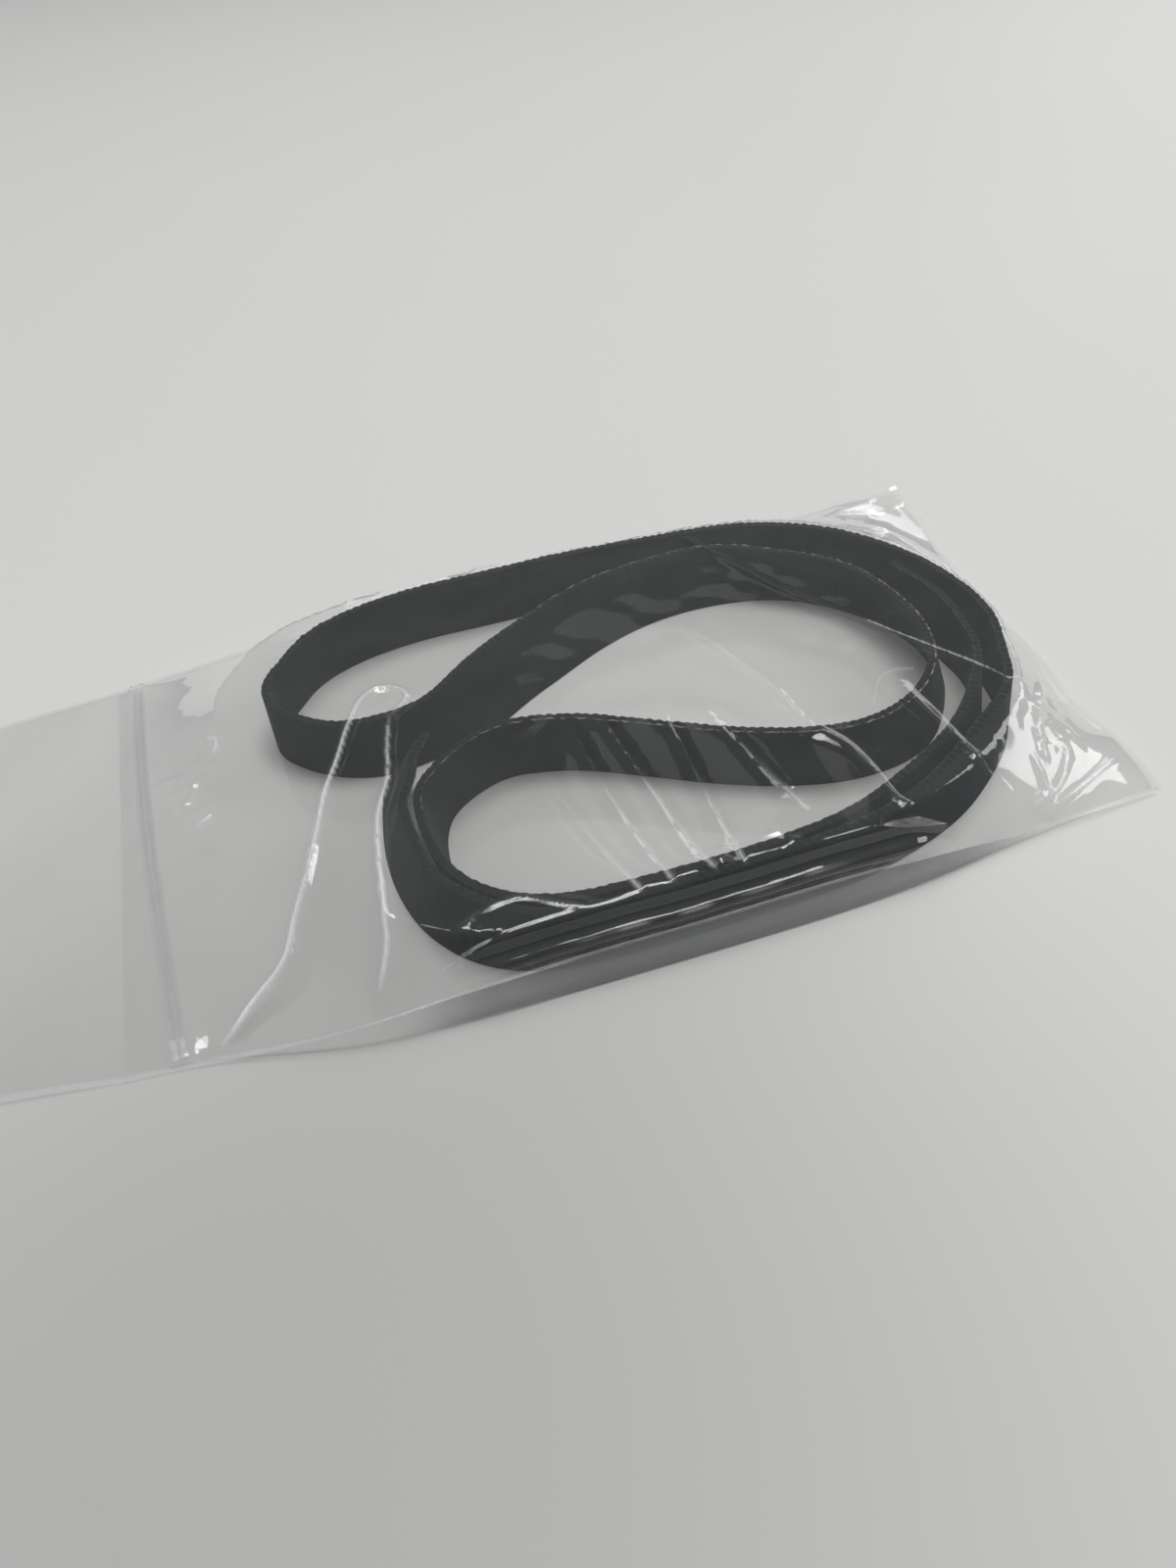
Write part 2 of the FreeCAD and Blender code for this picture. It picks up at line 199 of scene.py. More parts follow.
def add_camera():
    """Looks down at the bag from its near side, turned slightly to the right and rolled."""
    tilt, azimuth, roll = map(math.radians, (CAMERA_TILT, CAMERA_AZIMUTH, CAMERA_ROLL))
    level = Vector((math.cos(azimuth), -math.sin(azimuth), 0))
    ahead = Vector((math.sin(azimuth), math.cos(azimuth), 0))
    forward = ahead * math.cos(tilt) + Vector((0, 0, -math.sin(tilt)))
    upright = level.cross(forward)
    right = level * math.cos(roll) - upright * math.sin(roll)
    up = level * math.sin(roll) + upright * math.cos(roll)
    data = bpy.data.cameras.new("camera")
    data.sensor_fit = "HORIZONTAL"
    data.sensor_width = SENSOR_WIDTH
    data.lens = SENSOR_WIDTH * FOCAL_LENGTH_PIXELS / FRAME_WIDTH_PIXELS
    data.clip_start = 0.01
    camera = bpy.data.objects.new("camera", data)
    turned = Matrix((right, up, -forward)).transposed().to_4x4()
    camera.matrix_world = Matrix.Translation(Vector(CAMERA_PLACE) * MM) @ turned
    bpy.context.scene.collection.objects.link(camera)
    bpy.context.scene.camera = camera


# Table and light

TABLE_REACH = 2500
# Lamps: name, azimuth and elevation in degrees, distance, width and height in metres, and power in watts
LAMPS = [
    ("key_softbox", 88, 27, 2.0, 1.25, 0.66, 8.8),
    ("low_window", 47, 17, 2.0, 0.80, 0.40, 1.5),
    ("ceiling_panel", 24, 76, 2.0, 1.20, 0.70, 6.6),
    ("ceiling_panel_far", -6, 73, 2.0, 0.90, 0.50, 5.0),
    ("overhead_lamp", 98, 76, 2.5, 0.90, 0.80, 12.6),
    ("far_wall_glow", 22, 42, 2.0, 0.50, 0.28, 0.11),
]


def add_table():
    """A pale table that fills the view, plain but for a soft shadow painted over its near left."""
    material, tree, output = new_material("table_matte_laminate")
    # Pale laminate: nearly even, with a very slight cloudiness
    place = add(tree, "ShaderNodeTexCoord")
    cloud = add(tree, "ShaderNodeTexNoise", {"Scale": 4.0, "Detail": 2.0}, Vector=place.outputs["Object"])
    tone = add(tree, "ShaderNodeMix", {"data_type": "RGBA", 6: srgb("#dcdbd9"), 7: srgb("#dfdedc")},
               Factor=cloud.outputs["Fac"])
    # A soft shadow is painted into the colour over its near left, darkest toward one spot
    off = add(tree, "ShaderNodeVectorMath", {"operation": "DISTANCE", 1: (-0.060, -0.105, 0.0)},
              _0=place.outputs["Object"])
    painted_shadow_share = add(tree, "ShaderNodeMapRange",
                {"interpolation_type": "SMOOTHSTEP", "From Min": 0.015, "From Max": 0.165},
                Value=off.outputs["Value"])
    fall = add(tree, "ShaderNodeMix", {"data_type": "RGBA", 6: srgb("#bab9b8")}, Factor=painted_shadow_share.outputs[0],
               _7=tone.outputs[2])
    surface = add(tree, "ShaderNodeBsdfPrincipled", {"Roughness": 0.55, "Specular IOR Level": 0.3},
                  Base_Color=fall.outputs[2])
    tree.links.new(surface.outputs[0], output.inputs[0])
    corners = [(x * TABLE_REACH, y * TABLE_REACH, 0) for x, y in ((-1, -1), (1, -1), (1, 1), (-1, 1))]
    make_piece("table", corners, [(0, 1, 2, 3)], material)


def add_light(name, azimuth, elevation, distance, width, height, power):
    """A soft white lamp aimed at the bag. Azimuth 0 is straight behind the bag, and grows to the right."""
    data = bpy.data.lights.new(name, "AREA")
    data.shape = "RECTANGLE"
    data.size, data.size_y = width, height
    data.energy = power
    lamp = bpy.data.objects.new(name, data)
    a, e = math.radians(azimuth), math.radians(elevation)
    away = Vector((math.sin(a) * math.cos(e), math.cos(a) * math.cos(e), math.sin(e)))
    turned = away.to_track_quat("Z", "Y").to_matrix().to_4x4()
    lamp.matrix_world = Matrix.Translation(away * distance) @ turned
    bpy.context.scene.collection.objects.link(lamp)


def add_world():
    """A pale room: plain to the camera, and a little brighter overhead than low down for all else."""
    world = bpy.data.worlds.new("room")
    world.use_nodes = True
    tree = world.node_tree
    tree.nodes.clear()
    output = tree.nodes.new("ShaderNodeOutputWorld")
    place = add(tree, "ShaderNodeTexCoord")
    split = add(tree, "ShaderNodeSeparateXYZ", Vector=place.outputs["Generated"])
    level = add(tree, "ShaderNodeMapRange", {"To Min": 0.25, "To Max": 0.40}, Value=split.outputs["Z"])
    ray = add(tree, "ShaderNodeLightPath")
    tint = add(tree, "ShaderNodeMix", {"data_type": "RGBA", 6: srgb("#e2ecee"), 7: srgb("#ffffff")},
               Factor=split.outputs["Z"])
    room = add(tree, "ShaderNodeBackground", Strength=level.outputs[0], Color=tint.outputs[2])
    backdrop = add(tree, "ShaderNodeBackground", {"Color": srgb("#dcdcdc")})
    mixed = add(tree, "ShaderNodeMixShader", Fac=ray.outputs["Is Camera Ray"], _1=room.outputs[0],
                _2=backdrop.outputs[0])
    tree.links.new(mixed.outputs[0], output.inputs[0])
    bpy.context.scene.world = world


# Materials

def film_material(name, haze, roughness, gloss=1.0, milk_and_painted_light="#f2f2f2"):
    """Polythene film: clear, glossy at a slant, and a little milky. Where its mesh is marked, its milk colour
    is painted on thickly: white painted highlights along creases, grey painted shade on a shaded margin.
    """
    material, tree, output = new_material(name)
    place = add(tree, "ShaderNodeTexCoord")
    # Each face reflects 4% head on and more at a slant, alike from both sides
    slant = add(tree, "ShaderNodeLayerWeight", {"Blend": 0.5})
    steep = add(tree, "ShaderNodeMath", {"operation": "POWER", 1: 5.0}, _0=slant.outputs["Facing"])
    share = add(tree, "ShaderNodeMapRange", {"To Min": 0.042 * gloss, "To Max": gloss},
                Value=steep.outputs[0])
    # Fine ripples of blown film, a few millimetres apart and drawn out along the bag
    stretch = add(tree, "ShaderNodeMapping", {"Scale": (0.6, 1.0, 1.0)}, Vector=place.outputs["Object"])
    ripple = add(tree, "ShaderNodeTexNoise", {"Scale": 160.0, "Detail": 3.0}, Vector=stretch.outputs[0])
    relief = add(tree, "ShaderNodeBump", {"Strength": 0.25, "Distance": 0.0002}, Height=ripple.outputs["Fac"])
    clear = add(tree, "ShaderNodeBsdfTransparent", {"Color": srgb("#ffffff")})
    shine = add(tree, "ShaderNodeBsdfGlossy", {"Color": srgb("#ffffff"), "Roughness": roughness},
                Normal=relief.outputs[0])
    bare = add(tree, "ShaderNodeMixShader", Fac=share.outputs[0], _1=clear.outputs[0], _2=shine.outputs[0])
    # The milkiness comes in faint clouds about a centimetre wide
    cloud = add(tree, "ShaderNodeTexNoise", {"Scale": 90.0, "Detail": 2.0}, Vector=place.outputs["Object"])
    veil = add(tree, "ShaderNodeMapRange", {"From Min": 0.3, "From Max": 0.7, "To Min": haze * 0.6,
                                            "To Max": haze * 1.4}, Value=cloud.outputs["Fac"])
    # Painted light: where the mesh is marked, the milk colour is painted over the film, as white highlights
    # along creases and as grey shade on the shaded margin
    creases = add(tree, "ShaderNodeAttribute", {"attribute_name": "painted_glint_and_shade"})
    sharper = add(tree, "ShaderNodeMath", {"operation": "POWER", 1: 2.0}, _0=creases.outputs["Fac"])
    amount = add(tree, "ShaderNodeMath", {"operation": "MULTIPLY_ADD", 1: 0.6, "use_clamp": True},
                 _0=sharper.outputs[0], _2=veil.outputs[0])
    milk = add(tree, "ShaderNodeBsdfDiffuse", {"Color": srgb(milk_and_painted_light)})
    mixed = add(tree, "ShaderNodeMixShader", Fac=amount.outputs[0], _1=bare.outputs[0], _2=milk.outputs[0])
    tree.links.new(mixed.outputs[0], output.inputs[0])
    return material


# A wave texture of scale 1 repeats over this length
WAVE_PERIOD = 0.31416


def woven_material(name, colours, thread, pale_edge=False):
    """Black polyester webbing: matte, with fine crossed threads and a slight fuzz at a slant. The threads are
    drawn coarser than the real ones may be, so that they show."""
    material, tree, output = new_material(name)
    place = add(tree, "ShaderNodeUVMap", {"uv_map": "UVMap"})
    threads = {"Scale": WAVE_PERIOD / (thread * MM), "Distortion": 0.6, "Detail": 1.0}
    warp = add(tree, "ShaderNodeTexWave", {"bands_direction": "Y", **threads}, Vector=place.outputs[0])
    weft = add(tree, "ShaderNodeTexWave", {"bands_direction": "X", **threads}, Vector=place.outputs[0])
    cross = add(tree, "ShaderNodeMath", {"operation": "MULTIPLY"}, _0=warp.outputs["Fac"],
                _1=weft.outputs["Fac"])
    relief = add(tree, "ShaderNodeBump", {"Strength": 0.35, "Distance": 0.00006}, Height=cross.outputs[0])
    mottle = add(tree, "ShaderNodeTexNoise", {"Scale": 60.0, "Detail": 3.0}, Vector=place.outputs[0])
    body = add(tree, "ShaderNodeMix", {"data_type": "RGBA", 6: srgb(colours[0]), 7: srgb(colours[1])},
               Factor=mottle.outputs["Fac"])
    thread_tone = add(tree, "ShaderNodeMapRange", {"To Min": 0.88, "To Max": 1.12}, Value=cross.outputs[0])
    shaded = add(tree, "ShaderNodeVectorMath", {"operation": "SCALE"}, _0=body.outputs[2],
                 Scale=thread_tone.outputs[0])
    colour = shaded.outputs[0]
    if pale_edge:
        colour = pale_dashed_edge(tree, place.outputs[0], colour)
    surface = add(tree, "ShaderNodeBsdfPrincipled",
                  {"Roughness": 0.85, "Specular IOR Level": 0.2,
                   "Sheen Weight": 0.04, "Sheen Roughness": 0.4},
                  Base_Color=colour, Normal=relief.outputs[0])
    tree.links.new(surface.outputs[0], output.inputs[0])
    return material


def pale_dashed_edge(tree, place, colour):
    """Pale broken dashes along the lining's upper edge."""
    split = add(tree, "ShaderNodeSeparateXYZ", Vector=place)
    middle = (STRAP_WIDTH + INNER_PLY / 2) * MM
    off = add(tree, "ShaderNodeMath", {"operation": "SUBTRACT", 1: middle}, _0=split.outputs["Y"])
    far = add(tree, "ShaderNodeMath", {"operation": "ABSOLUTE"}, _0=off.outputs[0])
    edge = add(tree, "ShaderNodeMapRange",
               {"From Min": 0.20 * MM, "From Max": 0.34 * MM, "To Min": 1.0, "To Max": 0.0},
               Value=far.outputs[0])
    # Dashes one to three millimetres long
    spread = add(tree, "ShaderNodeCombineXYZ", X=split.outputs["X"])
    dashes = add(tree, "ShaderNodeTexNoise", {"Scale": 520.0, "Detail": 2.0}, Vector=spread.outputs[0])
    broken = add(tree, "ShaderNodeMapRange", {"From Min": 0.46, "From Max": 0.58},
                 Value=dashes.outputs["Fac"])
    # They show from the left turn, by the middle run, to the inner right turn, and are faint elsewhere
    left = add(tree, "ShaderNodeMapRange", {"From Min": 0.16, "From Max": 0.20, "To Min": 0.15},
               Value=split.outputs["X"])
    right = add(tree, "ShaderNodeMapRange",
                {"From Min": 0.36, "From Max": 0.40, "To Min": 1.0, "To Max": 0.1}, Value=split.outputs["X"])
    where = add(tree, "ShaderNodeMath", {"operation": "MULTIPLY"}, _0=left.outputs[0], _1=right.outputs[0])
    both = add(tree, "ShaderNodeMath", {"operation": "MULTIPLY"}, _0=broken.outputs[0], _1=edge.outputs[0])
    share = add(tree, "ShaderNodeMath", {"operation": "MULTIPLY"}, _0=both.outputs[0], _1=where.outputs[0])
    pale_dashes = add(tree, "ShaderNodeMix", {"data_type": "RGBA", 7: srgb("#8f8983")}, Factor=share.outputs[0],
               _6=colour)
    return pale_dashes.outputs[2]


# The strap

# Where the middle of the coil lies, and the strap's route round it: foot of its middle line (x, y),
# heading in degrees, and how far its upper edge leans to the left of the way it runs
COIL_MIDDLE = np.array([18.0, -2.8])
ROUTE = [
    (58.8, 18.3, -76, 0.0), (61.0, 3.6, -91, 0.6), (60.5, -11.0, -104, -1.0), (52.6, -25.6, -131, -2.2),
    (38.6, -34.6, -149, 0.0), (23.6, -42.2, -157, 0.0), (6.0, -45.9, -175, 0.0), (-23.0, -46.0, -183, 0.0),
    (-36.0, -41.4, -215, 0.5), (-42.0, -30.9, -254, 1.8), (-42.2, -16.9, -276, 2.6), (-37.0, -6.3, -322, 0.4),
    (-24.0, -1.9, -369, 0.0), (2.6, -14.8, -392, 0.0), (24.0, -24.4, -374, 0.0), (48.8, -18.6, -312, 2.4),
    (58.6, 2.6, -270, 4.6), (46.5, 28.2, -222, 1.5), (22.0, 35.8, -178, -4.0), (-5.0, 26.8, -148, -6.5),
    (-22.0, 15.8, -142, -6.5), (-42.7, 7.6, -170, -1.5), (-58.0, 12.1, -220, 0.0), (-65.2, 23.6, -268, 0.0),
    (-58.8, 36.6, -305, 0.0), (-43.0, 46.4, -346, 0.0), (-9.0, 48.3, -358, 0.6), (22.0, 47.3, -364, 0.0),
    (41.5, 43.2, -385, 0.0), (54.9, 31.2, -412, 1.7), (64.8, -0.4, -453, 2.2), (61.4, -20.2, -473, -0.8),
    (45.0, -37.6, -505, -2.6), (24.0, -46.3, -526, -0.6), (5.0, -48.3, -538, 0.0), (-26.0, -48.4, -543, 0.0),
    (-45.0, -38.9, -594, -2.2), (-51.1, -17.4, -630, -3.9), (-50.1, -6.0, -639, -6.4),
    (-47.5, 4.8, -654, -8.6),
]
# Steps along the strap, the length of a tooth of its ragged upper edge, and how far that edge frays sideways
STRAP_STEP = 0.3
TOOTH = 1.6
FRAY = 0.07


def heading_line(angle):
    """Unit vectors along headings."""
    return np.stack((np.cos(angle), np.sin(angle)), axis=-1)


def left_side(angle):
    """Unit vectors square to headings, to their left."""
    return np.stack((-np.sin(angle), np.cos(angle)), axis=-1)


def arc_turn(start, heading, end):
    """How far an arc turns that leaves start along heading and reaches end."""
    run = end - start
    first = heading_line(heading)
    return 2 * math.atan2(first[0] * run[1] - first[1] * run[0], first @ run)


def arcs_through(stations):
    """Two equal-tangent arcs between each two stations, as (start, heading, turn, length)."""
    arcs = []
    heading = stations[0][1]
    for (start, _), (end, last_heading) in zip(stations, stations[1:]):
        run = end - start
        first, last = heading_line(heading), heading_line(last_heading)
        spread = 2 * (1 - first @ last)
        reach = run @ (first + last)
        if spread < 1e-9:
            tangent = run @ run / (4 * run @ last)
        else:
            tangent = (math.sqrt(reach * reach + spread * (run @ run)) - reach) / spread
        meet = ((start + first * tangent) + (end - last * tangent)) / 2
        for goal in (meet, end):
            turn = arc_turn(start, heading, goal)
            chord = np.linalg.norm(goal - start)
            half = turn / 2
            arcs.append((start, heading, turn, chord * (half / math.sin(half) if abs(half) > 1e-6 else 1)))
            start = goal
            heading += turn
    return arcs


def strap_lines():
    """Middle lines at the foot and at the upper edge, their headings, and the length along the strap."""
    levels = []
    for level in (0, 1):
        stations = []
        for x, y, degrees, lean in ROUTE:
            angle = math.radians(degrees)
            stations.append((np.array([x, y]) + left_side(angle) * lean * level + COIL_MIDDLE, angle))
        levels.append(arcs_through(stations))
    counts = [max(2, round(arc[3] / STRAP_STEP)) for arc in levels[0]]
    lines = []
    for arcs in levels:
        points, headings, lengths, gone = [], [], [], 0.0
        for (start, heading, turn, length), count in zip(arcs, counts):
            share = np.arange(count) / count
            bend = turn / 2 * share
            reach = length * share * np.sinc(bend / math.pi)
            points.append(start + reach[:, None] * heading_line(heading + bend))
            headings.append(heading + turn * share)
            lengths.append(gone + length * share)
            gone += length
        lines.append((np.concatenate(points), np.concatenate(headings), np.concatenate(lengths)))
    return lines


def make_ply(name, lines, outside, inside, material, ragged):
    """A ply of the strap between two distances to the left of its middle, with a ragged upper edge."""
    (low, low_heading, along), (high, high_heading, _) = lines
    middle = (outside + inside) / 2
    bevel = min(0.12, (outside - inside) / 4)
    # Its section: how far to the left, and how high as a share of the strap's width
    rise = [0.0, 0.2, 0.4, 0.6, 0.8, 1.0]
    ring = [(outside, h) for h in rise]
    ring += [(outside - bevel, 1.01), (middle, 1.015), (inside + bevel, 1.01)]
    ring += [(inside, h) for h in reversed(rise)]
    ring += [(inside + bevel, -0.01), (outside - bevel, -0.01)]
    teeth = np.abs(np.sin(along * math.pi / TOOTH))
    rough = np.array([noise.noise(Vector((s * 0.8, outside, 3.0))) for s in along])
    columns, places, walked = [], [], 0.0
    previous = ring[0]
    for side, height in ring:
        share = min(max(height, 0.0), 1.0)
        upper = 1.0 if height >= 1.0 else 0.0
        centre = low * (1 - share) + high * share
        left = left_side(low_heading) * (1 - share) + left_side(high_heading) * share
        push = upper * rough * FRAY * np.sign(side - middle)
        plan = centre + left * (side + push)[:, None]
        z = STRAP_FOOT + PLY_CLEAR + share * (STRAP_WIDTH - 3 * PLY_CLEAR)
        z = z + upper * ragged * (teeth - 1.0 + rough * 0.5) + (PLY_CLEAR if height > 1 else 0.0)
        columns.append(np.column_stack((plan, z)))
        walked += math.hypot(side - previous[0], (height - previous[1]) * STRAP_WIDTH)
        previous = (side, height)
        places.append(np.column_stack((along, np.full(along.shape, walked))) * MM)
    points = np.stack(columns, axis=1).reshape(-1, 3)
    where = np.stack(places, axis=1).reshape(-1, 2)
    return make_piece(name, points, swept_faces(len(along), len(ring)), material, where)


# The bag's outline, as it lies in the photograph: seams between the two films (x, y, height)
NEAR_SEAM = [
    (-77.0, -47.6, 0.1), (-67.5, -48.6, 0.2), (-61.0, -49.9, 0.7), (-53.0, -51.9, 1.9), (-41.0, -54.3, 3.9),
    (-30.8, -54.5, 4.6), (-11.3, -54.1, 4.8), (10.6, -54.2, 4.8), (28.8, -53.9, 4.8), (37.7, -53.9, 4.7),
    (46.4, -54.0, 4.3), (54.0, -53.4, 3.4), (62.4, -52.4, 2.2), (75.3, -51.2, 1.2), (91.1, -49.9, 0.4),
]
NEAR_SEAM_TOP = 4.8
# Where the lower film turns up to the near seam
NEAR_FOOT = [
    (-77.0, -47.6), (-67.5, -48.7), (-61.0, -50.2), (-53.0, -52.4), (-41.0, -54.9), (-30.8, -55.8),
    (-11.3, -56.2), (10.6, -56.3), (28.8, -56.2), (37.7, -55.8), (46.4, -55.1), (54.0, -54.1),
    (62.4, -52.8), (75.3, -51.3), (91.1, -49.9),
]
FAR_SEAM = [
    (-77.0, 50.6, 0.1), (-71.5, 51.6, 0.1), (-61.4, 53.2, 0.1), (-50.0, 55.4, 0.1), (-35.0, 56.0, 0.1),
    (0.0, 56.2, 0.1), (60.0, 56.4, 0.3), (79.7, 57.0, 1.3), (90.0, 57.0, 2.2), (100.0, 54.9, 2.6),
]
END_SEAM = [
    (91.1, -49.9, 0.4), (92.4, -43.6, 0.4), (93.0, -37.1, 0.6), (92.4, -29.9, 0.4), (92.2, -23.8, 0.6),
    (92.9, -19.4, 0.5), (94.2, -13.4, 0.3), (94.7, -6.9, 0.2), (95.5, 12.9, 0.5), (97.7, 33.2, 0.8),
    (99.6, 45.3, 1.8), (100.0, 54.9, 2.6),
]
# The line that the lips fold about, between the two side seams
FOLD_X = -77.0
FOLD_NEAR = -47.6
FOLD_FAR = 50.6
FOLD_LINE = [(FOLD_X, FOLD_NEAR, FILM), (FOLD_X, 0.0, FILM), (FOLD_X, FOLD_FAR, FILM)]
# The bag's breadth between its side seams, by which the rows of the films are spaced
BAG_ACROSS = 106.0
ZIP_LINE = [(-69.3, -47.6), (-70.9, -24.0), (-72.3, 0.0), (-73.0, 22.0), (-73.1, 50.0)]
ZIP_TOP = 1.5


def graded(*stretches):
    """Shares from 0 to 1 along a length that is made of stretches (where it ends, how many steps)."""
    places, start = [0.0], 0.0
    for end, steps in stretches:
        places.extend(np.linspace(start, end, steps + 1)[1:])
        start = end
    return np.array(places) / start


def patch(near, far, left, right, across):
    """A grid spanned by four edges. near and far run along its columns, and left and right up its rows."""
    u = np.linspace(0, 1, len(near))[None, :, None]
    v = across[:, None, None]
    straight = (1 - v) * (1 - u) * near[0] + (1 - v) * u * near[-1] + v * (1 - u) * far[0] + v * u * far[-1]
    return (1 - v) * near[None] + v * far[None] + (1 - u) * left[:, None] + u * right[:, None] - straight


def at_shares(points, shares):
    """A smooth line through points, at given shares of its length."""
    even = np.linspace(0, 1, 600)
    fine = smooth_line(points, len(even))
    return np.column_stack([np.interp(shares, even, column) for column in fine.T])


def away_from(x, y, line):
    """For each place: its distance to a line in plan, how far along the line that is (0 to 1), and where."""
    line = np.array(line, float)
    steps = np.linalg.norm(np.diff(line, axis=0), axis=1)
    knots = np.concatenate(([0], np.cumsum(steps))) / steps.sum()
    best = np.full(x.shape, 1e9)
    share = np.zeros(x.shape)
    nearest = np.zeros(x.shape + (2,))
    for (ax, ay), (bx, by), k0, k1 in zip(line, line[1:], knots, knots[1:]):
        dx, dy = bx - ax, by - ay
        t = np.clip(((x - ax) * dx + (y - ay) * dy) / (dx * dx + dy * dy), 0, 1)
        d = np.hypot(x - ax - t * dx, y - ay - t * dy)
        nearer = d < best
        best = np.where(nearer, d, best)
        share = np.where(nearer, k0 + t * (k1 - k0), share)
        nearest = np.where(nearer[..., None], np.stack((ax + t * dx, ay + t * dy), axis=-1), nearest)
    return best, share, nearest


# A map of where the strap holds the film up: its near left corner, its rows and columns, and its cell
MAP_CORNER = (-80.0, -60.0)
MAP_ROWS, MAP_COLUMNS = 250, 380
MAP_CELL = 0.5
# How far beside the middle of the strap, and of the zip, the film is held up
HELD_BY_STRAP = 1.3
HELD_BY_ZIP = 1.7


def floor_of_film(grid, strap_points):
    """The upper film's least height: over the strap, wherever it can shift to, and over the zip."""
    held = np.zeros((MAP_ROWS, MAP_COLUMNS))
    span = int(HELD_BY_STRAP / MAP_CELL) + 1
    spots = ((strap_points - np.array(MAP_CORNER)) / MAP_CELL).astype(int)
    for dj in range(-span, span + 1):
        for di in range(-span, span + 1):
            if math.hypot(dj, di) * MAP_CELL <= HELD_BY_STRAP:
                held[spots[:, 1] + dj, spots[:, 0] + di] = 1.0
    # The held strip gets soft sides, and is drawn out wherever the strap can shift to
    for _ in range(12):
        held[1:-1] = (held[:-2] + 2 * held[1:-1] + held[2:]) / 4
        held[:, 1:-1] = (held[:, :-2] + 2 * held[:, 1:-1] + held[:, 2:]) / 4
    swept = held.copy()
    for shift in range(1, int(STRAP_TRAVEL / MAP_CELL) + 1):
        swept[:, :-shift] = np.maximum(swept[:, :-shift], held[:, shift:])
    u = np.clip((grid[..., 0] - MAP_CORNER[0]) / MAP_CELL - 0.5, 0, MAP_COLUMNS - 2)
    v = np.clip((grid[..., 1] - MAP_CORNER[1]) / MAP_CELL - 0.5, 0, MAP_ROWS - 2)
    i, j = u.astype(int), v.astype(int)
    u, v = u - i, v - j
    cover = (swept[j, i] * (1 - u) * (1 - v) + swept[j, i + 1] * u * (1 - v)
             + swept[j + 1, i] * (1 - u) * v + swept[j + 1, i + 1] * u * v)
    # The film rises from the lower film to the strap's height as the cover goes from 0.15 to 0.55
    least = 2 * FILM + (FILM_OVER_STRAP - 2 * FILM) * np.clip((cover - 0.15) / 0.4, 0, 1)
    zip_off = away_from(grid[..., 0], grid[..., 1], ZIP_LINE)[0]
    return np.where(zip_off < HELD_BY_ZIP, np.maximum(least, ZIP_TOP), least)


# How the film is drawn taut: how fast it sags where it's free, how far each step overshoots, and the rounds
SAG = 0.004
OVERSHOOT = 1.93
ROUNDS = 700


def draped(grid, least):
    """Pulls the film taut between its seams and over what lies under it, by successive relaxation."""
    height = grid[..., 2].copy()
    height[1:-1, 1:-1] = np.maximum(height, least)[1:-1, 1:-1]
    dx = np.linalg.norm(np.diff(grid[..., :2], axis=1), axis=2).mean()
    dy = np.linalg.norm(np.diff(grid[..., :2], axis=0), axis=2).mean(axis=1)[:, None]
    down, up = dy[:-1], dy[1:]
    side = 1 / dx**2
    below = 2 / (down * (down + up))
    above = 2 / (up * (down + up))
    total = 2 * side + below + above
    rows, columns = height.shape
    row, column = np.meshgrid(np.arange(1, rows - 1), np.arange(1, columns - 1), indexing="ij")
    # Every second place moves at a time, as on a draughts board
    colours = [(row + column) % 2 == parity for parity in (0, 1)]
    for _ in range(ROUNDS):
        for colour in colours:
            mean = (side * (height[1:-1, :-2] + height[1:-1, 2:]) + below * height[:-2, 1:-1]
                    + above * height[2:, 1:-1] - SAG) / total
            now = height[1:-1, 1:-1]
            moved = np.maximum(now + OVERSHOOT * (mean - now), least[1:-1, 1:-1])
            now[colour] = moved[colour]
    return height
